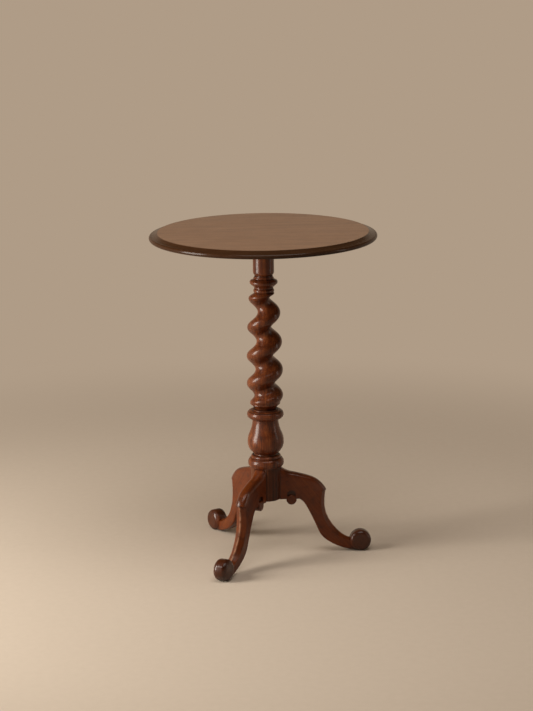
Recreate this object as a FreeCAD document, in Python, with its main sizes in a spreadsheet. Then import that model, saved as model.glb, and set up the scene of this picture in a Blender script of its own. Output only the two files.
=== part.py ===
import FreeCAD, Part
import os
import re

import Sketcher
from FreeCAD import Vector

# Lamp table: a round moulded top on a turned and twisted column with three scroll legs.
# Lengths are in millimetres and angles in degrees. Z points up, the floor is at zero,
# the column stands on the Z axis and the right leg runs along X.

SIZES = {
    # The whole table
    "table_height": 720,
    "top_diameter": 488,
    "leg_reach": 230,
    "full_turn": 360,
    # Top board
    "board_thickness": 15.5,
    "nose_thickness": 10,
    "band_width": 17.5,
    "band_hollow": 0.7,
    "pilot_diameter": 4.3,
    "pilot_depth": 10.5,
    # Cleat under the board
    "cleat_length": 180,
    "cleat_width": 90,
    "cleat_thickness": 22,
    "cleat_bevel": 8,
    "screw_spacing_long": 140,
    "screw_spacing_wide": 56,
    # Wood screws
    "screw_length": 31,
    "screw_head_diameter": 8.4,
    "screw_head_height": 2.8,
    "screw_shank_diameter": 4.2,
    "screw_tip_diameter": 1.2,
    "screw_tip_length": 4,
    "screw_slot_width": 1.1,
    "screw_slot_depth": 1.2,
    "screw_clearance": 0.2,
    # Tenon at the top of the column, with the wedge that spreads it
    "tenon_diameter": 30,
    "tenon_clearance": 0.1,
    "tenon_shortfall": 0.5,
    "wedge_depth": 16,
    "wedge_thick_end": 3.4,
    "wedge_thin_end": 1.2,
    "wedge_clearance": 0.1,
    # Base of the column, where the legs are let in
    "base_lift": 125.5,
    "base_diameter": 66,
    "base_height": 73.5,
    "base_round": 3,
    # Collar above the legs
    "collar_diameter": 78.6,
    "collar_height": 19,
    "collar_seat_diameter": 70,
    "collar_quirk_diameter": 64,
    "collar_quirk_height": 1.4,
    "collar_bead_diameter": 65,
    "collar_bead_height": 6.6,
    "vase_foot_diameter": 48,
    "vase_foot_height": 4.4,
    # Vase
    "vase_lip_diameter": 55,
    "vase_belly_diameter": 79.4,
    "vase_belly_height": 25.4,
    "vase_waist_diameter": 56,
    "vase_height": 75,
    "vase_swell_share": 0.8,
    "vase_turn_share": 0.4,
    # Flange that caps the vase
    "flange_soffit_diameter": 69,
    "flange_soffit_height": 2.7,
    "flange_diameter": 79.8,
    "flange_height": 21,
    "flange_apex_share": 0.48,
    "flange_shoulder_diameter": 60,
    "flange_step_diameter": 55,
    "flange_step_height": 2.2,
    # Cove that opens from a neck to the foot of the twist
    "cove_neck_diameter": 45,
    "cove_height": 11.6,
    "cove_hollow_share": 0.36,
    # Barley twist: a rope of wood that winds about the column's axis. Its sections are ovals,
    # a little longer across the throw than along it, and they swell at half height.
    "twist_low_diameter": 65.3,
    "twist_high_diameter": 45.5,
    "twist_swell": 2.8,
    "twist_oval_share": 0.036,
    "twist_low_throw": 7.3,
    "twist_high_throw": 10.3,
    "twist_throw_swell": 1.6,
    "twist_turns": 3.986,
    "twist_start": 247.5,
    "twist_crowding_share": 0.075,
    "twist_drift_share": 0.047,
    # Mouldings above the twist, from the lowest bead up to the plain shaft
    "low_bead_foot_diameter": 41,
    "low_bead_diameter": 45.2,
    "low_bead_height": 8.3,
    "low_neck_diameter": 37.6,
    "low_neck_height": 2.2,
    "ring_step_diameter": 41.6,
    "ring_step_height": 1.6,
    "ring_slope_height": 6.7,
    "ring_shoulder_diameter": 56.6,
    "ring_diameter": 60.4,
    "ring_nose_height": 8.1,
    "ring_back_height": 2.9,
    "high_bead_diameter": 44,
    "high_bead_height": 4.1,
    "high_step_diameter": 40.6,
    "high_step_height": 1.8,
    "high_neck_diameter": 34.8,
    "high_neck_height": 2.2,
    "shaft_foot_diameter": 38,
    "shaft_diameter": 45.5,
    "shaft_length": 58.1,
    "shaft_round": 7,
    "shaft_swell_share": 0.25,
    # Legs
    "leg_shoulder_thickness": 30,
    "leg_foot_thickness": 18,
    "crest_slope_share": 1.19,
    "crest_round": 10.5,
    "sole_round": 4,
    "roll_radius": 23.6,
    "roll_width": 32,
    "roll_round": 10,
    "roll_wear": 0.4,
    "knob_reach_share": 0.236,
    "knob_radius": 11.2,
    "knob_width": 31,
    "knob_round": 2.4,
    "knob_drop": 2.2,
    "eye_radius": 9.5,
    "eye_rise": 12,
    "eye_depth": 3.2,
    # Sliding dovetails of the legs
    "dovetail_neck": 10,
    "dovetail_spread": 15,
    "dovetail_depth": 14,
    "dovetail_height": 58,
    "dovetail_clearance": 0.15,
    # Overrun of the cuts past the wood that they take away
    "overrun": 2,
}

# The legs' names, in order round the column from the X axis
LEGS = ("leg_right", "leg_back", "leg_front")

doc = FreeCAD.newDocument("lamp_table")
sheet = doc.addObject("Spreadsheet::Sheet", "Sizes")
for row, (name, size) in enumerate(SIZES.items(), start=1):
    sheet.set(f"A{row}", name)
    sheet.set(f"B{row}", str(size))
    sheet.setAlias(f"B{row}", name)
doc.recompute()


def bound(text):
    """The text of a formula with every size name turned into a reference to its cell."""
    return re.sub(r"[a-z_]+", lambda word: ("Sizes." if word[0] in SIZES else "") + word[0], str(text))


def value(text):
    """The number that a formula of sizes gives."""
    return float(sheet.evalExpression(bound(text)))


def bind(item, path, text):
    """Tie one property of an object to a formula of sizes."""
    item.setExpression(path, bound(text))


def new_body(label):
    body = doc.addObject("PartDesign::Body", label)
    body.Label = label
    return body


def part_of_origin(body, role):
    return [item for item in body.Origin.OriginFeatures if item.Role == role][0]


def new_sketch(body, name, role="XY_Plane", offset=("0", "0", "0"), lean=None, spin=None):
    """A sketch on one of the body's own planes, moved by formulas in the plane's own directions
    and turned by lean about its own upright axis or by spin in its own plane."""
    sketch = body.newObject("Sketcher::SketchObject", name)
    sketch.AttachmentSupport = [(part_of_origin(body, role), "")]
    sketch.MapMode = "FlatFace"
    if lean or spin:
        turned_about = Vector(0, 1, 0) if lean else Vector(0, 0, 1)
        sketch.AttachmentOffset = FreeCAD.Placement(Vector(), FreeCAD.Rotation(turned_about, 1))
        bind(sketch, "AttachmentOffset.Rotation.Angle", lean or spin)
    for letter, text in zip("xyz", offset):
        if text != "0":
            bind(sketch, f"AttachmentOffset.Base.{letter}", text)
    return sketch


def hold_point(sketch, geometry, end, point):
    """Constrain one point of a sketch to a pair of formulas."""
    axes = (("DistanceX", -2, point[0]), ("DistanceY", -1, point[1]))
    for kind, axis, text in axes:
        if value(text) == 0:
            sketch.addConstraint(Sketcher.Constraint("PointOnObject", geometry, end, axis))
        else:
            held = Sketcher.Constraint(kind, geometry, end, value(text))
            bind(sketch, f"Constraints[{sketch.addConstraint(held)}]", text)


def place(point):
    return Vector(value(point[0]), value(point[1]), 0)


def arc_through(start, middle, end):
    """A circular arc, with the sketch's own numbers of its first and last point."""
    curve = Part.Arc(start, middle, end).toShape().Curve
    circle = Part.Circle(curve.Center, Vector(0, 0, 1), curve.Radius)
    turn = (middle - start).cross(end - middle).z
    first, last = (start, end) if turn > 0 else (end, start)
    arc = Part.ArcOfCircle(circle, circle.parameter(first), circle.parameter(last))
    return (arc, 1, 2) if turn > 0 else (arc, 2, 1)


def middle_of_smooth_arc(start, heading, end):
    """The middle of the arc that leaves start along heading and comes to end."""
    chord = end - start
    side = Vector(-heading.y, heading.x, 0)
    radius = chord.dot(chord) / (2 * chord.dot(side))
    centre = start + side * radius
    outward = (start + end) * 0.5 - centre
    return centre + outward.normalize() * abs(radius)


def heading_at_end(arc, end):
    """The direction in which an arc arrives at its end, for an arc of less than half a turn."""
    start_point, end_point = arc.StartPoint, arc.EndPoint
    forward = (end - end_point).Length < (end - start_point).Length
    tangent = Vector(0, 0, 1).cross(end - arc.Center).normalize()
    return tangent if forward else tangent * -1


def draw_outline(sketch, start, steps):
    """Draw a closed outline from start. A step is a line to a point, an arc through one point
    to another, or a smooth arc to a point that carries on in the direction of the step before."""
    here = start
    heading = None
    joins = []
    for step in steps:
        kind, target = step[0], step[-1]
        begin, end = place(here), place(target)
        if kind == "line":
            number = sketch.addGeometry(Part.LineSegment(begin, end))
            first, last = 1, 2
            heading = (end - begin).normalize()
        else:
            middle = place(step[1]) if kind == "arc" else middle_of_smooth_arc(begin, heading, end)
            arc, first, last = arc_through(begin, middle, end)
            number = sketch.addGeometry(arc)
            heading = heading_at_end(arc, end)
        joins.append((kind, number, first, last, here))
        if kind == "arc":
            guide = sketch.addGeometry(Part.Point(place(step[1])), True)
            hold_point(sketch, guide, 1, step[1])
            sketch.addConstraint(Sketcher.Constraint("PointOnObject", guide, 1, number))
        here = target
    before = joins[-1]
    for join in joins:
        kind, number, first, last, point = join
        relation = "Tangent" if kind == "smooth" else "Coincident"
        sketch.addConstraint(Sketcher.Constraint(relation, before[1], before[3], number, first))
        hold_point(sketch, number, first, point)
        before = join


def revolve(body, name, sketch, axis="V_Axis"):
    turned = body.newObject("PartDesign::Revolution", name)
    turned.Profile = sketch
    turned.ReferenceAxis = (sketch, [axis])
    bind(turned, "Angle", "full_turn")
    return turned


def pad(body, name, sketch, length, both_ways=False):
    grown = body.newObject("PartDesign::Pad", name)
    grown.Profile = sketch
    bind(grown, "Length", length)
    if both_ways:
        grown.SideType = "Symmetric"
    return grown


def pocket_up(body, name, sketch, length):
    """Cut from the sketch's plane along its normal, which for a plan view is upwards."""
    cut = body.newObject("PartDesign::Pocket", name)
    cut.Profile = sketch
    cut.Reversed = True
    bind(cut, "Length", length)
    return cut


def rectangle(sketch, low, high):
    """A rectangle between two corners given as formulas."""
    draw_outline(sketch, low, [
        ("line", (high[0], low[1])),
        ("line", high),
        ("line", (low[0], high[1])),
        ("line", low),
    ])


def circle(sketch, centre, radius):
    number = sketch.addGeometry(Part.Circle(place(centre), Vector(0, 0, 1), value(radius)))
    hold_point(sketch, number, 3, centre)
    held = sketch.addConstraint(Sketcher.Constraint("Radius", number, value(radius)))
    bind(sketch, f"Constraints[{held}]", radius)


def oval(sketch, half_length, half_width):
    """An ellipse about the sketch's origin, with its length along the sketch's X axis."""
    length_end = Vector(value(half_length), 0, 0)
    width_end = Vector(0, value(half_width), 0)
    number = sketch.addGeometry(Part.Ellipse(length_end, width_end, Vector()))
    sketch.exposeInternalGeometry(number)
    long_axis, short_axis = number + 1, number + 2
    hold_point(sketch, number, 3, ("0", "0"))
    sketch.addConstraint(Sketcher.Constraint("Horizontal", long_axis))
    for axis, half in ((long_axis, half_length), (short_axis, half_width)):
        held = sketch.addConstraint(Sketcher.Constraint("Distance", axis, 2 * value(half)))
        bind(sketch, f"Constraints[{held}]", f"2 * ({half})")


def checked_cut(feature):
    """Recompute, and make sure that the last cut took wood away."""
    doc.recompute()
    if feature.Shape.Volume >= feature.BaseFeature.Shape.Volume:
        raise RuntimeError(feature.Name + " cuts nothing")


def screw_places():
    """The four screw positions of the cleat, as formulas."""
    for across in (-1, 1):
        for along in (-1, 1):
            yield f"{across} * screw_spacing_wide / 2", f"{along} * screw_spacing_long / 2"


# Heights that several pieces share
board_under = "table_height - board_thickness"
cleat_under = f"{board_under} - cleat_thickness"
base_top = "base_lift + base_height"

# Top board: one round board with a bullnose rim, a hollow band inside it and a flat middle
top_board = new_body("top_board")
board_profile = new_sketch(top_board, "board_profile", "XZ_Plane")
rim = "top_diameter / 2"
band_start = "top_diameter / 2 - band_width"
nose_back = "top_diameter / 2 - nose_thickness / 2"
nose_top = f"{board_under} + nose_thickness"
band_middle = (f"({band_start} + {nose_back}) / 2", f"(table_height + {nose_top}) / 2 - band_hollow")
draw_outline(board_profile, ("0", board_under), [
    ("line", (nose_back, board_under)),
    ("arc", (rim, f"{board_under} + nose_thickness / 2"), (nose_back, nose_top)),
    ("arc", band_middle, (band_start, "table_height")),
    ("line", ("0", "table_height")),
    ("line", ("0", board_under)),
])
revolve(top_board, "board_turning", board_profile)
pilot_plan = new_sketch(top_board, "pilot_plan", offset=("0", "0", board_under))
for x_place, y_place in screw_places():
    circle(pilot_plan, (x_place, y_place), "pilot_diameter / 2")
checked_cut(pocket_up(top_board, "pilot_holes", pilot_plan, "pilot_depth"))

# Cleat: a bearer across the board's grain, bored for the column's tenon and bevelled below
top_cleat = new_body("top_cleat")
cleat_plan = new_sketch(top_cleat, "cleat_plan", offset=("0", "0", cleat_under))
rectangle(cleat_plan, ("-cleat_width / 2", "-cleat_length / 2"), ("cleat_width / 2", "cleat_length / 2"))
cleat_block = pad(top_cleat, "cleat_block", cleat_plan, "cleat_thickness")
doc.recompute()
low_edges = [
    f"Edge{number}"
    for number, edge in enumerate(cleat_block.Shape.Edges, start=1)
    if edge.BoundBox.ZMax < value(cleat_under) + value("cleat_thickness") / 2
]
cleat_bevels = top_cleat.newObject("PartDesign::Chamfer", "cleat_bevels")
cleat_bevels.Base = (cleat_block, low_edges)
bind(cleat_bevels, "Size", "cleat_bevel")
mortise_plan = new_sketch(top_cleat, "mortise_plan", offset=("0", "0", cleat_under))
circle(mortise_plan, ("0", "0"), "tenon_diameter / 2 + tenon_clearance")
checked_cut(pocket_up(top_cleat, "mortise", mortise_plan, "cleat_thickness"))
screw_plan = new_sketch(top_cleat, "screw_plan", offset=("0", "0", cleat_under))
for x_place, y_place in screw_places():
    circle(screw_plan, (x_place, y_place), "screw_shank_diameter / 2 + screw_clearance")
checked_cut(pocket_up(top_cleat, "screw_holes", screw_plan, "cleat_thickness"))
for number, (x_place, y_place) in enumerate(screw_places(), start=1):
    sink_mouth = (x_place, cleat_under, f"-({y_place})")
    sink_profile = new_sketch(top_cleat, f"sink_profile_{number}", "XZ_Plane", sink_mouth)
    draw_outline(sink_profile, ("0", "-overrun"), [
        ("line", ("screw_head_diameter / 2 + screw_clearance", "-overrun")),
        ("line", ("screw_head_diameter / 2 + screw_clearance", "0")),
        ("line", ("screw_shank_diameter / 2 + screw_clearance", "screw_head_height")),
        ("line", ("0", "screw_head_height")),
        ("line", ("0", "-overrun")),
    ])
    sink = top_cleat.newObject("PartDesign::Groove", f"screw_sink_{number}")
    sink.Profile = sink_profile
    sink.ReferenceAxis = (sink_profile, ["V_Axis"])
    bind(sink, "Angle", "full_turn")
    checked_cut(sink)

# Wood screws: slotted, with a countersunk head flush with the cleat and a tapered point
shank_start = f"{cleat_under} + screw_head_height"
screws = []
for number, (x_place, y_place) in enumerate(screw_places(), start=1):
    head = doc.addObject("Part::Cone", f"screw_head_{number}")
    bind(head, "Radius1", "screw_head_diameter / 2")
    bind(head, "Radius2", "screw_shank_diameter / 2")
    bind(head, "Height", "screw_head_height")
    shank = doc.addObject("Part::Cylinder", f"screw_shank_{number}")
    bind(shank, "Radius", "screw_shank_diameter / 2")
    bind(shank, "Height", "screw_length - screw_head_height - screw_tip_length")
    tip = doc.addObject("Part::Cone", f"screw_tip_{number}")
    bind(tip, "Radius1", "screw_shank_diameter / 2")
    bind(tip, "Radius2", "screw_tip_diameter / 2")
    bind(tip, "Height", "screw_tip_length")
    slot = doc.addObject("Part::Box", f"screw_slot_{number}")
    bind(slot, "Length", "screw_head_diameter")
    bind(slot, "Width", "screw_slot_width")
    bind(slot, "Height", "screw_slot_depth + overrun")
    levels = (
        (head, cleat_under),
        (shank, shank_start),
        (tip, f"{cleat_under} + screw_length - screw_tip_length"),
    )
    for item, level in levels:
        bind(item, "Placement.Base.x", x_place)
        bind(item, "Placement.Base.y", y_place)
        bind(item, "Placement.Base.z", level)
    bind(slot, "Placement.Base.x", f"{x_place} - screw_head_diameter / 2")
    bind(slot, "Placement.Base.y", f"{y_place} - screw_slot_width / 2")
    bind(slot, "Placement.Base.z", f"{cleat_under} - overrun")
    stem = doc.addObject("Part::MultiFuse", f"screw_stem_{number}")
    stem.Shapes = [head, shank, tip]
    screw = doc.addObject("Part::Cut", f"screw_{number}")
    screw.Base = stem
    screw.Tool = slot
    screws.append(screw)
cleat_screws = doc.addObject("Part::Compound", "cleat_screws")
cleat_screws.Label = "cleat_screws"
cleat_screws.Links = screws

# Column, lower part: base block, collar, vase, flange and the cove below the twist
column = new_body("column")
lower_profile = new_sketch(column, "lower_profile", "XZ_Plane")
collar_top = f"{base_top} + collar_height"
quirk_top = f"{collar_top} + collar_quirk_height"
bead_top = f"{quirk_top} + collar_bead_height"
vase_base = f"{bead_top} + vase_foot_height"
vase_top = f"{vase_base} + vase_height"
belly_level = f"{vase_base} + vase_belly_height"
belly_swell = "vase_swell_share * (vase_belly_diameter - vase_lip_diameter)"
belly_radius = f"(vase_lip_diameter + {belly_swell}) / 2"
vase_turn = "vase_turn_share * (vase_waist_diameter - vase_belly_diameter)"
vase_turn_radius = f"(vase_belly_diameter + {vase_turn}) / 2"
vase_turn_level = f"{belly_level} + vase_turn_share * (vase_height - vase_belly_height)"
soffit_top = f"{vase_top} + flange_soffit_height"
flange_top = f"{vase_top} + flange_height"
step_top = f"{flange_top} + flange_step_height"
twist_base = f"{step_top} + cove_height"
cove_swell = "cove_hollow_share * (twist_low_diameter - cove_neck_diameter)"
cove_radius = f"(cove_neck_diameter + {cove_swell}) / 2"
corner = "(1 - sqrt(1 / 2))"
draw_outline(lower_profile, ("0", "base_lift"), [
    ("line", ("base_diameter / 2 - base_round", "base_lift")),
    ("arc", (f"base_diameter / 2 - base_round * {corner}", f"base_lift + base_round * {corner}"),
     ("base_diameter / 2", "base_lift + base_round")),
    ("line", ("base_diameter / 2", base_top)),
    ("line", ("collar_seat_diameter / 2", base_top)),
    ("arc", ("collar_diameter / 2", f"{base_top} + collar_height / 2"),
     ("collar_seat_diameter / 2", collar_top)),
    ("line", ("collar_quirk_diameter / 2", collar_top)),
    ("line", ("collar_quirk_diameter / 2", quirk_top)),
    ("arc", ("collar_bead_diameter / 2", f"{quirk_top} + collar_bead_height / 2"),
     ("vase_lip_diameter / 2", bead_top)),
    ("arc", ("vase_foot_diameter / 2", f"{bead_top} + vase_foot_height / 2"),
     ("vase_lip_diameter / 2", vase_base)),
    ("arc", (belly_radius, f"{vase_base} + vase_belly_height / 2"),
     ("vase_belly_diameter / 2", belly_level)),
    ("smooth", (vase_turn_radius, vase_turn_level)),
    ("smooth", ("vase_waist_diameter / 2", vase_top)),
    ("line", ("flange_soffit_diameter / 2", soffit_top)),
    ("arc", ("flange_diameter / 2", f"{vase_top} + flange_apex_share * flange_height"),
     ("flange_shoulder_diameter / 2", flange_top)),
    ("line", ("flange_step_diameter / 2", flange_top)),
    ("line", ("flange_step_diameter / 2", step_top)),
    ("line", ("cove_neck_diameter / 2", step_top)),
    ("arc", (cove_radius, f"{step_top} + cove_height / 2"),
     ("twist_low_diameter / 2", twist_base)),
    ("line", ("0", twist_base)),
    ("line", ("0", "base_lift")),
])
revolve(column, "lower_turning", lower_profile)

# Column, middle part: the twist, as oval sections whose centres wind about the axis. Each is
# longest across its throw, and the throw dies away into the cove below and the bead above.
shaft_foot = f"{cleat_under} - shaft_length"
high_neck_base = f"{shaft_foot} - high_neck_height"
high_step_base = f"{high_neck_base} - high_step_height"
high_bead_base = f"{high_step_base} - high_bead_height"
ring_back_base = f"{high_bead_base} - ring_back_height"
ring_nose_base = f"{ring_back_base} - ring_nose_height"
ring_slope_base = f"{ring_nose_base} - ring_slope_height"
ring_step_base = f"{ring_slope_base} - ring_step_height"
low_neck_base = f"{ring_step_base} - low_neck_height"
twist_top = f"{low_neck_base} - low_bead_height"
sections_per_turn = 10
section_count = round(sections_per_turn * value("twist_turns"))
low_throw_shares = (0, 0.35, 0.8)
high_throw_shares = (0, 0.7)
sections = []
for number in range(section_count + 1):
    share = number / section_count
    from_top = section_count - number
    throw_share = 1
    if number < len(low_throw_shares):
        throw_share = low_throw_shares[number]
    elif from_top < len(high_throw_shares):
        throw_share = high_throw_shares[from_top]
    level = f"{twist_base} + {share} * ({twist_top} - ({twist_base}))"
    middle_share = share * (1 - share)
    drift_share = f"twist_drift_share * {1 - 2 * share}"
    turned_share = f"({share} + {middle_share} * (twist_crowding_share + {drift_share}))"
    angle = f"(twist_start + full_turn * twist_turns * {turned_share})"
    swell_share = 4 * middle_share
    tapered_throw = f"twist_low_throw + {share} * (twist_high_throw - twist_low_throw)"
    throw = f"{throw_share} * ({tapered_throw} + {swell_share} * twist_throw_swell)"
    tapered_diameter = f"twist_low_diameter + {share} * (twist_high_diameter - twist_low_diameter)"
    radius = f"({tapered_diameter} + {swell_share} * twist_swell) / 2"
    if from_top == 0:
        radius = "low_bead_foot_diameter / 2"
    section_place = (f"{throw} * cos({angle})", f"{throw} * sin({angle})", level)
    spin = f"{angle} + full_turn / 4"
    section = new_sketch(column, f"twist_section_{number}", offset=section_place, spin=spin)
    if throw_share:
        oval_share = f"{throw_share} * twist_oval_share"
        oval(section, f"{radius} * (1 + {oval_share})", f"{radius} * (1 - {oval_share})")
    else:
        circle(section, ("0", "0"), radius)
    sections.append(section)
twist = column.newObject("PartDesign::AdditiveLoft", "twist")
twist.Profile = sections[0]
twist.Sections = sections[1:]

# Column, upper part: low bead, ring, high bead, plain shaft and the tenon for the cleat
upper_profile = new_sketch(column, "upper_profile", "XZ_Plane")
tenon_top = f"{board_under} - tenon_shortfall"
draw_outline(upper_profile, ("0", twist_top), [
    ("line", ("low_bead_foot_diameter / 2", twist_top)),
    ("arc", ("low_bead_diameter / 2", f"{twist_top} + low_bead_height / 2"),
     ("low_bead_foot_diameter / 2", low_neck_base)),
    ("line", ("low_neck_diameter / 2", low_neck_base)),
    ("line", ("low_neck_diameter / 2", ring_step_base)),
    ("line", ("ring_step_diameter / 2", ring_step_base)),
    ("line", ("ring_step_diameter / 2", ring_slope_base)),
    ("line", ("ring_shoulder_diameter / 2", ring_nose_base)),
    ("arc", ("ring_diameter / 2", f"{ring_nose_base} + ring_nose_height / 2"),
     ("ring_shoulder_diameter / 2", ring_back_base)),
    ("line", ("high_bead_diameter / 2", high_bead_base)),
    ("line", ("high_step_diameter / 2", high_bead_base)),
    ("arc", ("high_bead_diameter / 2", f"{high_bead_base} + high_bead_height / 2"),
     ("high_step_diameter / 2", high_step_base)),
    ("line", ("high_step_diameter / 2", high_neck_base)),
    ("line", ("high_neck_diameter / 2", high_neck_base)),
    ("line", ("high_neck_diameter / 2", shaft_foot)),
    ("line", ("shaft_foot_diameter / 2", shaft_foot)),
    ("arc", ("(shaft_diameter + shaft_swell_share * (shaft_foot_diameter - shaft_diameter)) / 2",
             f"{shaft_foot} + shaft_round / 2"),
     ("shaft_diameter / 2", f"{shaft_foot} + shaft_round")),
    ("line", ("shaft_diameter / 2", cleat_under)),
    ("line", ("tenon_diameter / 2", cleat_under)),
    ("line", ("tenon_diameter / 2", tenon_top)),
    ("line", ("0", tenon_top)),
    ("line", ("0", twist_top)),
])
revolve(column, "upper_turning", upper_profile)

# Saw kerf across the tenon, filled by the wedge that spreads it along the cleat's grain
kerf_profile = new_sketch(column, "kerf_profile", "YZ_Plane")


def wedge_outline(sketch, clearance):
    """The tapering section of the wedge, or of the kerf when a clearance is given."""
    thick = f"wedge_thick_end / 2 + {clearance}"
    thin = f"wedge_thin_end / 2 + {clearance}"
    point = f"{tenon_top} - wedge_depth - {clearance}"
    draw_outline(sketch, (f"-({thin})", point), [
        ("line", (thin, point)),
        ("line", (thick, tenon_top)),
        ("line", (f"-({thick})", tenon_top)),
        ("line", (f"-({thin})", point)),
    ])


wedge_outline(kerf_profile, "wedge_clearance")
kerf = column.newObject("PartDesign::Pocket", "kerf")
kerf.Profile = kerf_profile
kerf.SideType = "Symmetric"
bind(kerf, "Length", "tenon_diameter + overrun")
checked_cut(kerf)

tenon_wedge = new_body("tenon_wedge")
wedge_profile = new_sketch(tenon_wedge, "wedge_profile", "YZ_Plane")
wedge_outline(wedge_profile, "0")
wedge_length = "sqrt(tenon_diameter ^ 2 - wedge_thick_end ^ 2) - 2 * wedge_clearance"
pad(tenon_wedge, "wedge_block", wedge_profile, wedge_length, both_ways=True)

# Seats of the legs on the base: a flat as wide as the leg, with a dovetail housing open below
seat_reach = "sqrt(base_diameter ^ 2 / 4 - leg_shoulder_thickness ^ 2 / 4)"
flat_plan = new_sketch(column, "flat_plan", offset=("0", "0", "base_lift"))
flat_end = "base_diameter / 2 + overrun"
flat_side = "leg_shoulder_thickness / 2 + overrun"
rectangle(flat_plan, (seat_reach, f"-({flat_side})"), (flat_end, flat_side))
seat_flat = pocket_up(column, "seat_flat", flat_plan, "base_height")
checked_cut(seat_flat)


def dovetail_outline(sketch, clearance, mouth):
    """The plan of a dovetail that widens towards the axis and opens at its mouth."""
    neck = f"dovetail_neck / 2 + {clearance}"
    spread = f"dovetail_spread / 2 + {clearance}"
    back = f"{seat_reach} - dovetail_depth - {clearance}"
    draw_outline(sketch, (back, f"-({spread})"), [
        ("line", (seat_reach, f"-({neck})")),
        ("line", (mouth, f"-({neck})")),
        ("line", (mouth, neck)),
        ("line", (seat_reach, neck)),
        ("line", (back, spread)),
        ("line", (back, f"-({spread})")),
    ])


socket_plan = new_sketch(column, "socket_plan", offset=("0", "0", "base_lift"))
dovetail_outline(socket_plan, "dovetail_clearance", flat_end)
socket = pocket_up(column, "dovetail_socket", socket_plan, "dovetail_height + dovetail_clearance")
checked_cut(socket)
seats = column.newObject("PartDesign::PolarPattern", "leg_seats")
seats.Originals = [seat_flat, socket]
seats.Axis = (part_of_origin(column, "Z_Axis"), [""])
bind(seats, "Angle", "full_turn")
seats.Occurrences = len(LEGS)
column.Tip = seats

# Legs: a sawn and carved scroll leg, the same three times round the column.
# Shares are of the leg's reach from the axis and of its height at the column.
crest_shares = {
    "neck": (0.235, 0.926), "back": (0.419, 0.869), "knee": (0.495, 0.822), "tip": (0.571, 0.717),
}
keel_shares = {
    "lip": (0.565, 0.696), "bow": (0.557, 0.626), "waist": (0.555, 0.555),
    "calf": (0.601, 0.361), "ankle": (0.712, 0.2035), "crease": (0.809, 0.147),
}
cheek_shares = {
    "lip": (0.529, 0.703), "bow": (0.523, 0.6255), "waist": (0.522, 0.548),
    "calf": (0.565, 0.342), "ankle": (0.692, 0.177), "crease": (0.804, 0.1225),
}
sole_shares = {
    "arch": (0.828, 0.009), "heel": (0.755, 0.0296), "bend": (0.572, 0.1357),
    "shank": (0.490, 0.2588), "hock": (0.376, 0.545), "fork": (0.304, 0.6276),
}

# Ends of edges count as being at a place when they lie within this share of the foot's thickness
near_share = 0.02


def leg_point(shares):
    return f"{shares[0]} * leg_reach", f"{shares[1]} * ({base_top})"


roll_reach = "leg_reach - roll_radius"
roll_level = "roll_radius - roll_wear"
knob_reach = "knob_reach_share * leg_reach"
knob_level = "base_lift - knob_drop"
tongue_reach = f"{seat_reach} - dovetail_depth"
blank_top = f"{base_top} + crest_slope_share * dovetail_depth"

# The cheeks of a leg draw together from the shoulder to the foot
cheek_slope = f"(leg_shoulder_thickness - leg_foot_thickness) / 2 / ({roll_reach} - {seat_reach})"
cheek_half = f"leg_shoulder_thickness / 2 + {seat_reach} * {cheek_slope}"


def rounded_drum(sketch, radius, half_width, rounding):
    """Half the section of a drum on the sketch's own Y axis, with rounded rims."""
    flat = f"{radius} - {rounding}"
    diagonal = f"{radius} - {rounding} * {corner}"
    draw_outline(sketch, ("0", f"-{half_width}"), [
        ("line", (flat, f"-{half_width}")),
        ("arc", (diagonal, f"-({half_width} - {rounding} * {corner})"),
         (radius, f"-({half_width} - {rounding})")),
        ("line", (radius, f"{half_width} - {rounding}")),
        ("arc", (diagonal, f"{half_width} - {rounding} * {corner}"), (flat, half_width)),
        ("line", ("0", half_width)),
        ("line", ("0", f"-{half_width}")),
    ])


def leg_outline(sketch, front_shares):
    """The leg seen from the side: crest, lip of the knee, front, foot, sole and fork."""
    draw_outline(sketch, (tongue_reach, blank_top), [
        ("line", (seat_reach, base_top)),
        ("smooth", leg_point(crest_shares["neck"])),
        ("smooth", leg_point(crest_shares["back"])),
        ("smooth", leg_point(crest_shares["knee"])),
        ("smooth", leg_point(crest_shares["tip"])),
        ("line", leg_point(front_shares["lip"])),
        ("arc", leg_point(front_shares["bow"]), leg_point(front_shares["waist"])),
        ("smooth", leg_point(front_shares["calf"])),
        ("smooth", leg_point(front_shares["ankle"])),
        ("smooth", leg_point(front_shares["crease"])),
        ("line", (roll_reach, roll_level)),
        ("line", (roll_reach, "-roll_wear")),
        ("arc", leg_point(sole_shares["arch"]), leg_point(sole_shares["heel"])),
        ("smooth", leg_point(sole_shares["bend"])),
        ("smooth", leg_point(sole_shares["shank"])),
        ("smooth", leg_point(sole_shares["hock"])),
        ("smooth", leg_point(sole_shares["fork"])),
        ("line", (tongue_reach, "base_lift")),
        ("line", (tongue_reach, blank_top)),
    ])


def cheek_edges(shape, places):
    """The names of the cheeks' edges that run between neighbouring places of the outline."""
    near = value("leg_foot_thickness") * near_share
    spots = [Vector(value(reach), 0, value(level)) for reach, level in places]
    names = []
    for number, edge in enumerate(shape.Edges, start=1):
        first, last = edge.Vertexes[0].Point, edge.Vertexes[-1].Point
        if min(abs(first.y), abs(last.y)) < near:
            continue
        ends = [Vector(end.x, 0, end.z) for end in (first, last)]
        known = all(any((end - spot).Length < near for spot in spots) for end in ends)
        if known and (ends[0] - ends[1]).Length > near:
            names.append(f"Edge{number}")
    return names


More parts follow.
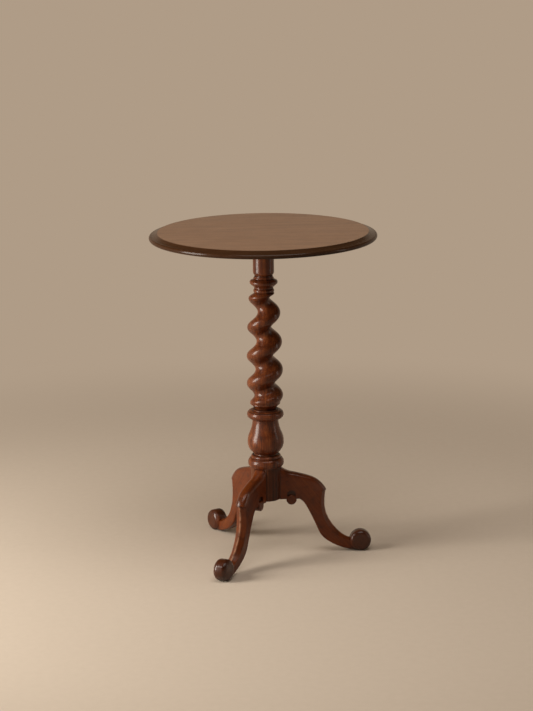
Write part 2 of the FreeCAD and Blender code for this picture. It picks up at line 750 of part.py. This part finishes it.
def scroll_leg(label, index):
    """One leg with its foot roll, knob and dovetail, turned to its place about the axis."""
    leg = new_body(label)
    near_outline = new_sketch(
        leg, f"{label}_near_outline", "XZ_Plane", ("0", "0", cheek_half), f"atan({cheek_slope})")
    middle_outline = new_sketch(leg, f"{label}_middle_outline", "XZ_Plane")
    far_outline = new_sketch(
        leg, f"{label}_far_outline", "XZ_Plane", ("0", "0", f"-({cheek_half})"), f"-atan({cheek_slope})")
    leg_outline(near_outline, cheek_shares)
    leg_outline(middle_outline, keel_shares)
    leg_outline(far_outline, cheek_shares)
    blade = leg.newObject("PartDesign::AdditiveLoft", f"{label}_blade")
    blade.Profile = near_outline
    blade.Sections = [middle_outline, far_outline]
    blade.Ruled = True
    doc.recompute()

    # A round eye sunk in each side, at the fork between the leg and the base
    eye_centre = (knob_reach, "0", f"{knob_level} + eye_rise")
    eye_profile = new_sketch(leg, f"{label}_eye_profile", offset=eye_centre)
    eye_floor = f"{cheek_half} - {knob_reach} * {cheek_slope} - eye_depth"
    rectangle(eye_profile, ("0", eye_floor), ("eye_radius", f"{cheek_half} + overrun"))
    rectangle(eye_profile, ("0", f"-({cheek_half} + overrun)"), ("eye_radius", f"-({eye_floor})"))
    eyes = leg.newObject("PartDesign::Groove", f"{label}_eyes")
    eyes.Profile = eye_profile
    eyes.ReferenceAxis = (eye_profile, ["V_Axis"])
    bind(eyes, "Angle", "full_turn")
    checked_cut(eyes)

    # Crest and sole: the long edges of the cheeks are rounded above and below
    crest_places = [(seat_reach, base_top)] + [leg_point(shares) for shares in crest_shares.values()]
    crest = leg.newObject("PartDesign::Fillet", f"{label}_crest")
    crest.Base = (eyes, cheek_edges(eyes.Shape, crest_places))
    bind(crest, "Radius", "crest_round")
    doc.recompute()
    sole_places = [leg_point(shares) for name, shares in sole_shares.items() if name != "arch"]
    sole = leg.newObject("PartDesign::Fillet", f"{label}_sole")
    sole.Base = (crest, cheek_edges(crest.Shape, sole_places))
    bind(sole, "Radius", "sole_round")

    # The end of the blank is cut back to its shoulders, which leaves the dovetail tongue
    blank_back = f"{tongue_reach} - overrun"
    neck = "dovetail_neck / 2"
    spread = "dovetail_spread / 2"
    shoulder_plan = new_sketch(leg, f"{label}_shoulder_plan", offset=("0", "0", "base_lift - overrun"))
    for side in ("", "-"):
        draw_outline(shoulder_plan, (seat_reach, f"{side}{neck}"), [
            ("line", (seat_reach, f"{side}({cheek_half} + overrun)")),
            ("line", (blank_back, f"{side}({cheek_half} + overrun)")),
            ("line", (blank_back, f"{side}{spread}")),
            ("line", (tongue_reach, f"{side}{spread}")),
            ("line", (seat_reach, f"{side}{neck}")),
        ])
    blank_height = f"{blank_top} - base_lift + 2 * overrun"
    checked_cut(pocket_up(leg, f"{label}_shoulders", shoulder_plan, blank_height))
    tongue_top = "base_lift + dovetail_height"
    stub_plan = new_sketch(leg, f"{label}_stub_plan", offset=("0", "0", tongue_top))
    stub_side = f"{cheek_half} + overrun"
    rectangle(stub_plan, (blank_back, f"-({stub_side})"), (seat_reach, stub_side))
    checked_cut(pocket_up(leg, f"{label}_stub", stub_plan, f"{blank_top} - ({tongue_top}) + overrun"))

    # Foot: a roll across the end of the leg, rounded at both sides and worn flat below
    roll_profile = new_sketch(leg, f"{label}_roll_profile", offset=(roll_reach, "0", roll_level))
    rounded_drum(roll_profile, "roll_radius", "roll_width / 2", "roll_round")
    revolve(leg, f"{label}_foot_roll", roll_profile)
    wear_plan = new_sketch(leg, f"{label}_wear_plan")
    rectangle(wear_plan, (f"{roll_reach} - 2 * roll_radius", "-roll_width"), ("leg_reach", "roll_width"))
    wear = leg.newObject("PartDesign::Pocket", f"{label}_wear")
    wear.Profile = wear_plan
    bind(wear, "Length", "roll_wear + overrun")
    checked_cut(wear)

    # Scroll at the fork: a knob that stands in the eyes
    knob_profile = new_sketch(leg, f"{label}_knob_profile", offset=(knob_reach, "0", knob_level))
    rounded_drum(knob_profile, "knob_radius", "knob_width / 2", "knob_round")
    revolve(leg, f"{label}_knob", knob_profile)
    bind(leg, "Placement.Rotation.Angle", f"{index} * full_turn / {len(LEGS)}")
    return leg


legs = [scroll_leg(label, index) for index, label in enumerate(LEGS)]

doc.recompute()

# Every object must have come out sound before anything is written
for item in doc.Objects:
    if "Invalid" in item.State or "Error" in item.State:
        raise RuntimeError(f"{item.Name} is {item.State}")
pieces = [top_board, top_cleat, column, *legs, tenon_wedge, cleat_screws]
for piece in pieces:
    if piece.Shape.isNull() or not piece.Shape.isValid():
        raise RuntimeError(f"{piece.Label} has no sound shape")

os.makedirs("parts", exist_ok=True)
for piece in pieces:
    piece.Shape.exportStep(f"parts/{piece.Label}.step")
    print(piece.Label, "solids:", len(piece.Shape.Solids))
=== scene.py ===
import math

import bpy
from mathutils import Matrix, Vector

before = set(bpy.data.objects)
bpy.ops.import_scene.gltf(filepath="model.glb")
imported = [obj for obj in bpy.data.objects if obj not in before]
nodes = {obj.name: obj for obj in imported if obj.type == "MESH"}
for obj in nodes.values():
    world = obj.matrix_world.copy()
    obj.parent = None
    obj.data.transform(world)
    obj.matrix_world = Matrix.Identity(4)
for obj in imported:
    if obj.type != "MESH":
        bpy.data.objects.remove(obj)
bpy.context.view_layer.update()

# Column. One billet of mahogany, turned between centres and then sawn and rasped into a
# twist by hand, stained red-brown and French polished. The legs are let into its base and
# its tenon goes up through the cleat.
column = nodes["column"]
column_dark = (0.034, 0.0068, 0.0016)
column_middle = (0.122, 0.0262, 0.0048)
column_light = (0.250, 0.072, 0.0180)
# Dark old polish colour, also used for painted shade in the recesses and on the base block.
old_polish_and_shade = (0.011, 0.0038, 0.0016)
rubbed = (0.260, 0.092, 0.034)
hollow_reach = 0.016
edge_reach = 0.004
full_coat = 0.54
coat_loss = 0.38
pore_depth = 0.00004
hand_wander = 0.0002
chatter_height = 0.00006
tool_ring_height = 0.00002
tool_rings_to_the_metre = 900
block_top_fade = (0.200, 0.195)
scored_level = 0.3240
scored_width = 0.0012
scored_depth = 0.0006


class Shade:
    """One socket of a finish, which takes part in sums as a number does."""

    def __init__(self, finish, socket):
        self.finish = finish
        self.socket = socket

    def __add__(self, other):
        return self.finish.maths("ADD", self, other)

    __radd__ = __add__

    def __sub__(self, other):
        return self.finish.maths("SUBTRACT", self, other)

    def __rsub__(self, other):
        return self.finish.maths("SUBTRACT", other, self)

    def __mul__(self, other):
        return self.finish.maths("MULTIPLY", self, other)

    __rmul__ = __mul__

    def __abs__(self):
        return self.finish.maths("ABSOLUTE", self)


class Finish:
    """A material under construction. Its x, y and z are places on the piece, in metres."""

    hollow_samples = 8

    def __init__(self, name):
        self.material = bpy.data.materials.new(name)
        self.material.use_nodes = True
        self.begin(self.material.node_tree, "Principled BSDF", "Object")

    def begin(self, tree, shader, places):
        self.tree = tree
        self.shader = tree.nodes[shader]
        place = self.node("TexCoord", {}, {}, places)
        self.x, self.y, self.z = [
            self.node("SeparateXYZ", {}, {0: place}, axis) for axis in range(3)]

    def node(self, kind, settings, sockets, output=0):
        """Add a node: its settings first, then a value or a link for each socket."""
        made = self.tree.nodes.new("ShaderNode" + kind)
        for name, setting in settings.items():
            if name == "stops":
                self.set_stops(made.color_ramp.elements, setting)
            else:
                setattr(made, name, setting)
        for name, given in sockets.items():
            self.feed(made.inputs[name], given)
        return Shade(self, made.outputs[output])

    def set_stops(self, ramp, stops):
        """Give a colour ramp its stops, each a position and a colour."""
        while len(ramp) < len(stops):
            ramp.new(1.0)
        for element, (position, colour) in zip(ramp, stops):
            element.position = position
            element.color = (*colour, 1.0)

    def feed(self, socket, given):
        """Link a shade to a socket, or set the socket to a value."""
        if isinstance(given, Shade):
            self.tree.links.new(given.socket, socket)
        else:
            socket.default_value = given

    def maths(self, operation, first, second=0.0):
        """Add one step of a sum."""
        return self.node("Math", {"operation": operation}, {0: first, 1: second})

    def apart(self, across, up):
        """Distance from a point, from its two parts."""
        return self.maths("SQRT", across * across + up * up)

    def point(self, x, y, z):
        return self.node("CombineXYZ", {}, {0: x, 1: y, 2: z})

    def place_times(self, lumps):
        """The place on the piece, for noise with so many lumps to the metre."""
        return self.point(self.x * lumps, self.y * lumps, self.z * lumps)

    def cloud(self, vector, detail=3.0, roughness=0.55):
        """Noise from 0 to 1 whose lumps are about one unit across."""
        sockets = {"Vector": vector, "Scale": 1.0, "Detail": detail, "Roughness": roughness}
        return self.node("TexNoise", {}, sockets, "Fac")

    def between(self, amount, start, full):
        """From 0 at start to 1 at full, eased at both ends. Start may be the greater."""
        sockets = {"Value": amount, "From Min": start, "From Max": full}
        return self.node("MapRange", {"interpolation_type": "SMOOTHSTEP"}, sockets)

    def bump_at(self, distance, width):
        """1 where distance is nothing, down to 0 at width on both sides."""
        return self.between(abs(distance), width, 0.0)

    def mix(self, mask, under, over):
        """Colour over where mask is 1, on under where it is 0."""
        under_socket, over_socket, colour_output = 6, 7, 2
        sockets = {0: mask, under_socket: self.colour(under), over_socket: self.colour(over)}
        return self.node("Mix", {"data_type": "RGBA"}, sockets, colour_output)

    def colour(self, given):
        """A shade as it is, or three numbers with the fourth that a socket wants."""
        return given if isinstance(given, Shade) else (*given, 1.0)

    def recess(self, reach):
        """1 deep in hollows and quirks narrower than reach, 0 in the open."""
        settings = {"samples": self.hollow_samples}
        open_share = self.node("AmbientOcclusion", settings, {"Distance": reach}, "AO")
        return 1 - open_share

    def edge(self, reach):
        """1 on sharp outer edges, 0 on flats and in hollows."""
        settings = {"samples": self.hollow_samples, "inside": True, "only_local": True}
        solid_share = self.node("AmbientOcclusion", settings, {"Distance": reach}, "AO")
        return self.between(1 - solid_share, 0.45, 0.75)

    def relief(self, height):
        """Bump by a height in metres."""
        sockets = {"Strength": 1.0, "Distance": 1.0, "Height": height}
        self.feed(self.shader.inputs["Normal"], self.node("Bump", {}, sockets))

    def drive(self, **sockets):
        """Set or link the shader's own sockets, with spaces written as underscores."""
        for name, given in sockets.items():
            self.feed(self.shader.inputs[name.replace("_", " ")], given)

    def cover(self, piece):
        """Put this finish on a piece, in place of what it has."""
        piece.data.materials.clear()
        piece.data.materials.append(self.material)


def mahogany(finish, along, across, through, dark, middle, light):
    """Colour, pores and tone of mahogany whose grain runs along, all from one log: growth
    layers lie across, a ribbon figure crosses them, and open pores are short dark dashes.
    The number beside each direction is how many of that noise's lumps go into a metre."""
    wander = finish.cloud(finish.point(along * 5, across * 22, through * 22), 2.0) - 0.5
    layer = finish.cloud(finish.point(along * 2.5, across * 120 + wander * 2, through * 26), 3.0)
    streak = finish.cloud(finish.point(along * 9, across * 420, through * 420), 3.0, 0.6)
    ribbon = finish.cloud(finish.point(along * 34, across * 30, through * 55), 1.0)
    dash = finish.cloud(finish.point(along * 90, across * 1500, through * 1500), 1.0)
    tone = layer * 0.42 + streak * 0.42 + ribbon * 0.16
    stops = [(0.36, dark), (0.50, middle), (0.64, light)]
    body = finish.node("ValToRGB", {"stops": stops}, {"Fac": tone}, "Color")
    pores = finish.between(dash, 0.6, 0.72)
    return finish.mix(pores * 0.55, body, dark), pores, tone


def polished(finish, wood, pores, sheen, patchy, marks_and_shade, thinned):
    """French polish over a stained wood: darker in the recesses, as old polish and painted
    shade, darker along the given cuts and lines and any painted shade among them, and in old
    patches, and rubbed thin on the edges. The coat is less where thinned is above 0, and more
    where it is below. Gives back the height of the hand's unevenness, in metres."""
    hollow = finish.between(finish.recess(hollow_reach), 0.30, 0.85)
    cloudy = finish.cloud(finish.place_times(38), 2.0)
    wear_and_highlight = finish.edge(edge_reach) * finish.between(cloudy, 0.42, 0.66)
    aged = finish.between(finish.cloud(finish.place_times(75), 4.0, 0.6), 0.48, 0.68)
    # Old polish together with painted shade: the recesses are mixed towards the dark old polish
    # colour.
    colour = finish.mix(hollow * 0.80, wood, old_polish_and_shade)
    colour = finish.mix(aged * patchy, colour, old_polish_and_shade)
    colour = finish.mix(wear_and_highlight * 0.35, colour, rubbed)
    colour = finish.mix(marks_and_shade * 0.9, colour, old_polish_and_shade)
    smudge = finish.cloud(finish.place_times(16), 3.0)
    rough = 0.42 + smudge * 0.16 + hollow * 0.20 + pores * 0.10
    coat = full_coat - hollow * coat_loss - thinned * coat_loss
    finish.drive(Base_Color=colour, Roughness=rough, Specular_IOR_Level=sheen)
    finish.drive(Coat_Weight=coat, Coat_Roughness=0.18, Coat_IOR=1.46)
    chatter = finish.cloud(finish.place_times(240), 1.0)
    return cloudy * hand_wander + chatter * chatter_height


finish = Finish("column_mahogany")
wood, pores = mahogany(
    finish, finish.z, finish.x, finish.y, column_dark, column_middle, column_light)[:2]
# Painted shade on the base block below the legs' shoulders: mixed towards the dark old polish
# colour, with its coat thinned.
on_block = finish.between(finish.z, *block_top_fade)
wood = finish.mix(on_block * 0.45, wood, old_polish_and_shade)
scored = finish.bump_at(finish.z - scored_level, scored_width)
unevenness = polished(
    finish, wood, pores, sheen=0.16, patchy=0.22, marks_and_shade=scored, thinned=on_block * 0.8)
tool_rings = finish.cloud(finish.point(0.0, 0.0, finish.z * tool_rings_to_the_metre), 1.0)
rings_and_hand = tool_rings * tool_ring_height + unevenness * 0.4
finish.relief(rings_and_hand - pores * pore_depth - scored * scored_depth)
finish.cover(column)

# Legs. Three scroll legs sawn from mahogany plank, their grain running down from the
# shoulder to the foot, carved by hand with a keel down the shin, chip cuts on the knee and
# at the foot, and slid up into the column's base on dovetails.
leg_degrees = {"leg_right": 0, "leg_back": 120, "leg_front": 240}
leg_dark = (0.070, 0.0128, 0.0012)
leg_middle = (0.122, 0.0232, 0.0019)
leg_light = (0.176, 0.040, 0.0046)
foot_dark = (0.024, 0.0050, 0.0011)
# Pale colour painted along the keel's arris as a painted highlight.
arris_painted_highlight = (0.44, 0.23, 0.135)
grain_fall = math.radians(52)
plank_along_per_degree = 0.01
plank_through_per_degree = 0.003
seat_reach = 0.0294
joint_width = 0.0022
cut_depth = 0.0018
crest_fall = math.radians(50)
crest_end_fade = (0.062, 0.040)
knee_end = -0.0259
knee_cut_count = 5
knee_cut_step = 0.0046
knee_cut_width = 0.0014
knee_cut_half_length = 0.012
knee_cut_arch = 22
knee_cuts_fade = (0.104, 0.108)
knee_reach_fade = (0.098, 0.108)
knee_level_fade = (0.140, 0.144)
foot_radius = 0.0236
foot_reach = 0.2064
foot_level = 0.0232
foot_fade = (foot_radius + 0.0009, foot_radius + 0.0001)
foot_crown = 0.024
foot_scuff_fade = (0.178, 0.192)
foot_cut_angles = (128, 142, 156)
foot_cut_spread = 0.035
foot_cut_half_length = 0.011
foot_cuts_fade = (0.183, 0.187)
shin_waist_reach = 0.107
shin_waist_level = 0.110
shin_sweep = 7.6
shin_front_fade = (0.0, 0.004)
shin_top_fade = (0.142, 0.138)
shin_end_fade = (0.186, 0.178)
keel_slope = 0.7
arris_round = 0.0025
arris_highlight_width = 0.0032
knob_reach = 0.0543
knob_level = 0.1233
knob_radius = 0.0112
eye_rise = 0.012
eye_radius = 0.0095


class LegFinish(Finish):
    """A finish with two more places: reach, out from the column, and side, across the leg."""

    def __init__(self, name, degrees):
        super().__init__(name)
        cosine, sine = math.cos(math.radians(degrees)), math.sin(math.radians(degrees))
        self.reach = self.x * cosine + self.y * sine
        self.side = self.y * cosine - self.x * sine
        self.from_foot = (self.reach - foot_reach, self.z - foot_level)

    def grain(self, degrees):
        """Colour and pores of the plank, whose grain falls towards the foot. Each leg is
        sawn from another part of it."""
        along = self.reach * math.cos(grain_fall) - self.z * math.sin(grain_fall)
        through = self.reach * math.sin(grain_fall) + self.z * math.cos(grain_fall)
        along = along + plank_along_per_degree * degrees
        through = through + plank_through_per_degree * degrees
        return mahogany(self, along, self.side, through, leg_dark, leg_middle, leg_light)[:2]

    def knee_cuts(self):
        """Chip cuts that arch across the knee, one below another."""
        down_crest = self.reach * math.cos(crest_fall) - self.z * math.sin(crest_fall)
        cuts = 0.0
        for number in range(knee_cut_count):
            level = down_crest - knee_end + number * knee_cut_step
            arch = level - self.side * self.side * knee_cut_arch
            cuts = cuts + self.bump_at(arch, knee_cut_width)
        cuts = cuts * self.between(self.reach, *knee_cuts_fade)
        return cuts * self.bump_at(self.side, knee_cut_half_length)

    def foot_cuts(self):
        """Short cuts that fan out where the shin meets the foot's roll."""
        across, up = self.from_foot
        angle = self.maths("ARCTAN2", up, across)
        cuts = 0.0
        for degrees in foot_cut_angles:
            cuts = cuts + self.bump_at(angle - math.radians(degrees), foot_cut_spread)
        cuts = cuts * self.between(self.reach, *foot_cuts_fade)
        return cuts * self.bump_at(self.side, foot_cut_half_length)

    def knob_and_eye(self):
        """1 on the knob under the shoulder, and 1 where painted shade fills the eye that is sunk
        above it.
        """
        from_knob = self.apart(self.reach - knob_reach, self.z - knob_level)
        from_eye = self.apart(self.reach - knob_reach, self.z - (knob_level + eye_rise))
        on_knob = self.between(from_knob, knob_radius * 1.08, knob_radius * 1.02)
        eye_painted_shade = self.between(from_eye, eye_radius * 1.1, eye_radius * 0.8)
        return on_knob, eye_painted_shade * self.between(from_knob, knob_radius * 0.98, knob_radius * 1.06)

    def shin_front(self):
        """1 on the keeled front of the shin, from under the knee's lip to the foot."""
        below_waist = shin_waist_level - self.z
        shin_middle = shin_waist_reach + below_waist * below_waist * shin_sweep
        front = self.between(self.reach - shin_middle, *shin_front_fade)
        front = front * self.between(self.z, *shin_top_fade)
        return front * self.between(self.reach, *shin_end_fade)

    def arris_rounding(self, on_shin):
        """How far the keel's sharp arris is rounded off, in metres."""
        near_arris = self.maths("MAXIMUM", arris_round - abs(self.side), 0.0)
        return near_arris * near_arris * on_shin * (keel_slope / (2 * arris_round))

    def painted_arris_highlight(self, on_shin):
        """1 where a pale painted highlight runs along the arris, in broken stretches."""
        wear_and_highlight = self.bump_at(self.side, arris_highlight_width) * on_shin
        return wear_and_highlight * self.between(self.cloud(self.place_times(90), 2.0), 0.32, 0.55)


for name, degrees in leg_degrees.items():
    leg = nodes[name]
    finish = LegFinish(name + "_mahogany", degrees)
    wood, pores = finish.grain(degrees)
    cuts = finish.knee_cuts() + finish.foot_cuts()
    on_knob, eye_painted_shade = finish.knob_and_eye()
    joint_line = finish.bump_at(finish.reach - seat_reach, joint_width)
    # The eye term is painted shade; the cuts and the joint line are dark lines in the wood.
    marks_and_shade = cuts + eye_painted_shade * 0.8 + joint_line
    scuffed = finish.between(finish.reach, *foot_scuff_fade) * 0.66 + on_knob * 0.2
    wood = finish.mix(scuffed, wood, foot_dark)
    on_shin = finish.shin_front()
    # Painted highlight: a pale line along the keel's arris, in broken stretches.
    wood = finish.mix(finish.painted_arris_highlight(on_shin) * 0.75, wood, arris_painted_highlight)
    crest_end = finish.between(finish.reach, *crest_end_fade)
    on_foot = finish.between(finish.apart(*finish.from_foot), *foot_fade)
    on_knee = finish.between(finish.reach, *knee_reach_fade)
    on_knee = on_knee * finish.between(finish.z, *knee_level_fade)
    thinned = crest_end * 0.3 - on_foot * 0.6 - on_knee * 0.8
    unevenness = polished(
        finish, wood, pores, sheen=0.12, patchy=0.4, marks_and_shade=marks_and_shade, thinned=thinned)
    flaws = unevenness - pores * pore_depth - cuts * cut_depth
    crown = finish.side * finish.side * on_foot * (1 / (2 * foot_crown))
    finish.relief(flaws - finish.arris_rounding(on_shin) - crown)
    finish.cover(leg)

# Cleat and wedge. The cleat is a plain mahogany bearer, planed and left unpolished under
# the top, and the wedge is a sliver of the same wood driven into the column's tenon.
cleat_dark = (0.045, 0.018, 0.0085)
cleat_middle = (0.105, 0.047, 0.021)
cleat_light = (0.175, 0.088, 0.042)
cleat_recess_reach = 0.02
raised_grain = 0.0002
open_pore_depth = 0.00025

for name in ("top_cleat", "tenon_wedge"):
    piece = nodes[name]
    finish = Finish(name + "_wood")
    wood, pores, tone = mahogany(
        finish, finish.y, finish.x, finish.z, cleat_dark, cleat_middle, cleat_light)
    # The cleat and wedge are mixed darker in their recesses.
    cleat_recess_darkening = finish.between(finish.recess(cleat_recess_reach), 0.25, 0.8)
    colour = finish.mix(cleat_recess_darkening * 0.6, wood, cleat_dark)
    finish.drive(Base_Color=colour, Roughness=0.55 + tone * 0.2)
    finish.relief(tone * raised_grain - pores * open_pore_depth)
    finish.cover(piece)

# Cleat screws. Slotted steel wood screws, gone dull and brown with age, driven up through
# the cleat into the board with their heads sunk flush.
screws = nodes["cleat_screws"]
bare_steel = (0.24, 0.215, 0.19)
rusty = (0.085, 0.045, 0.026)
slot_dark_colour = (0.02, 0.014, 0.01)
slot_reach = 0.003
rust_height = 0.0001

finish = Finish("screw_steel")
rust = finish.between(finish.cloud(finish.place_times(420), 3.0), 0.45, 0.65)
# The screws are mixed darker in their slots.
slot_darkening = finish.between(finish.recess(slot_reach), 0.2, 0.8)
steel = finish.mix(rust, bare_steel, rusty)
finish.drive(Base_Color=finish.mix(slot_darkening * 0.7, steel, slot_dark_colour))
finish.drive(Metallic=0.9 - rust * 0.6, Roughness=0.38 + rust * 0.3)
finish.relief(rust * rust_height)
finish.cover(screws)

# Top board. A round mahogany board with its grain running from side to side, its edge
# turned to a bullnose with a shallow hollow inside it. The polish is older and duller here.
# Its colours are paler than the column's, partly faded by light and use and partly a painted
# sheen that stands for a bright wall's reflection; the hollow band is painted dark as painted
# shade.
top = nodes["top_board"]
# Paler than the column's colours: partly faded wood, partly a painted sheen of a bright wall's
# reflection.
top_dark = (0.150, 0.064, 0.026)
top_middle = (0.217, 0.097, 0.040)
top_light = (0.282, 0.138, 0.062)
# Dark colour for painted shade in the hollow band inside the bullnose.
band_painted_shade = (0.021, 0.0066, 0.0022)
top_radius = 0.244
band_width = 0.0175
nose_radius = 0.005
band_start = top_radius - band_width
nose_start = top_radius - nose_radius
band_fade = (band_start - 0.002, band_start + 0.001)
nose_fade = (nose_start - 0.001, nose_start + 0.001)
grain_height = 0.0001

finish = Finish("top_mahogany")
wood, pores, tone = mahogany(
    finish, finish.x, finish.y, finish.z, top_dark, top_middle, top_light)
from_axis = finish.apart(finish.x, finish.y)
band = finish.between(from_axis, *band_fade)
nose = finish.between(from_axis, *nose_fade)
faded = finish.cloud(finish.place_times(9), 2.0)
wear_and_highlight = finish.edge(edge_reach)
wear_and_highlight = wear_and_highlight * finish.between(finish.cloud(finish.place_times(60), 2.0), 0.4, 0.6)
colour = finish.mix(faded * 0.3, wood, top_middle)
# Painted shade: the hollow band inside the bullnose is mixed nearly to a dark colour.
colour = finish.mix(band * 0.88, colour, band_painted_shade)
colour = finish.mix(wear_and_highlight * 0.55, colour, top_light)
smudge = finish.cloud(finish.place_times(13), 3.0)
coat = 0.60 - band * 0.12 - nose * 0.16
finish.drive(Base_Color=colour, Roughness=0.40 + smudge * 0.12 - band * 0.10)
finish.drive(Specular_IOR_Level=0.04, Coat_Weight=coat, Coat_Roughness=0.15)
finish.relief((tone - pores) * grain_height)
finish.cover(top)

# Studio. A plain pale floor that runs on into an even pale distance on every side, a tall
# window-like lamp at the left, a narrow weaker one at the right and a soft one overhead.
# The floor is pale to look at, and the light that it throws up at the table is brown.
floor_reach = 60.0
floor_end_fade = (0.75, 1.9)
pale = (0.66, 0.575, 0.48)
pale_fibre = (0.58, 0.50, 0.41)
thrown_up = (0.30, 0.165, 0.070)
distance = (0.43, 0.332, 0.242)
distance_glow = (0.105, 0.066, 0.032)
distance_top_fade = (0.42, 0.24)
black = (0.0, 0.0, 0.0)
lamp_height = 1.06
corners = [(-floor_reach, -floor_reach, 0.0), (floor_reach, -floor_reach, 0.0),
           (floor_reach, floor_reach, 0.0), (-floor_reach, floor_reach, 0.0)]
mesh = bpy.data.meshes.new("floor")
mesh.from_pydata(corners, [], [(0, 1, 2, 3)])
floor = bpy.data.objects.new("floor", mesh)
bpy.context.scene.collection.objects.link(floor)


def in_sight(finish):
    """1 for what is seen, straight or in a polish, and 0 for the light that falls."""
    rays = ("Is Camera Ray", "Is Glossy Ray", "Is Transmission Ray")
    straight, in_polish, through = [finish.node("LightPath", {}, {}, ray) for ray in rays]
    return straight + in_polish + through


finish = Finish("pale_paper")
seen = in_sight(finish)
fibre = finish.cloud(finish.place_times(60), 2.0)
paper = finish.mix(fibre * 0.5, pale, pale_fibre)
paper = finish.mix(seen, thrown_up, paper)
far = finish.between(finish.apart(finish.x, finish.y), *floor_end_fade)
finish.drive(Base_Color=finish.mix(far, paper, black), Roughness=0.9, Specular_IOR_Level=0.0)
finish.drive(Emission_Color=finish.mix(far * seen, black, distance), Emission_Strength=1.0)
finish.cover(floor)


class Distance(Finish):
    """What lies beyond the floor, built as a finish is. Its z is how high a ray looks."""

    def __init__(self, name):
        self.world = bpy.data.worlds.new(name)
        self.world.use_nodes = True
        self.begin(self.world.node_tree, "Background", "Generated")


beyond = Distance("studio")
low_down = beyond.between(beyond.z, *distance_top_fade)
glow = beyond.mix(in_sight(beyond) * low_down, distance_glow, distance)
beyond.drive(Color=glow, Strength=1.0)
bpy.context.scene.world = beyond.world


def lamp(name, place, aim, width, height, power, colour):
    """A soft oblong lamp. The camera doesn't see it, but a polish does."""
    light = bpy.data.lights.new(name, "AREA")
    light.shape = "RECTANGLE"
    light.size = width
    light.size_y = height
    light.energy = power
    light.color = colour
    holder = bpy.data.objects.new(name, light)
    holder.location = place
    holder.rotation_euler = (Vector(aim) - Vector(place)).to_track_quat("-Z", "Y").to_euler()
    holder.visible_camera = False
    bpy.context.scene.collection.objects.link(holder)


lamp("left_window", place=(-2.22, -0.59, lamp_height), aim=(0, 0, lamp_height),
     width=0.95, height=2.0, power=86, colour=(1.0, 0.93, 0.84))
lamp("right_window", place=(2.06, -0.41, lamp_height), aim=(0, 0, lamp_height),
     width=0.2, height=2.0, power=3.4, colour=(1.0, 0.93, 0.86))
lamp("ceiling", place=(0.2, -1.0, 3.0), aim=(0, 0, 0.3),
     width=2.2, height=1.8, power=34, colour=(1.0, 0.95, 0.90))

# Camera. Where the photograph was taken from: some way off, a little above the table,
# and rolled by less than a degree.
camera_place = Vector((-0.2585, -4.6244, 1.5526))
look_azimuth = math.radians(86.75)
look_down = math.radians(13.43)
camera_roll = math.radians(0.75)
lens_length = 111.44
forward = Vector((
    math.cos(look_azimuth) * math.cos(look_down),
    math.sin(look_azimuth) * math.cos(look_down),
    -math.sin(look_down)))
level_right = forward.cross(Vector((0, 0, 1))).normalized()
level_up = level_right.cross(forward)
right = level_right * math.cos(camera_roll) - level_up * math.sin(camera_roll)
up = level_right * math.sin(camera_roll) + level_up * math.cos(camera_roll)
facing = Matrix((right, up, -forward)).transposed().to_4x4()
camera_data = bpy.data.cameras.new("camera")
camera_data.lens = lens_length
camera = bpy.data.objects.new("camera", camera_data)
camera.matrix_world = Matrix.Translation(camera_place) @ facing
bpy.context.scene.collection.objects.link(camera)
bpy.context.scene.camera = camera
bpy.context.scene.view_settings.view_transform = "Standard"
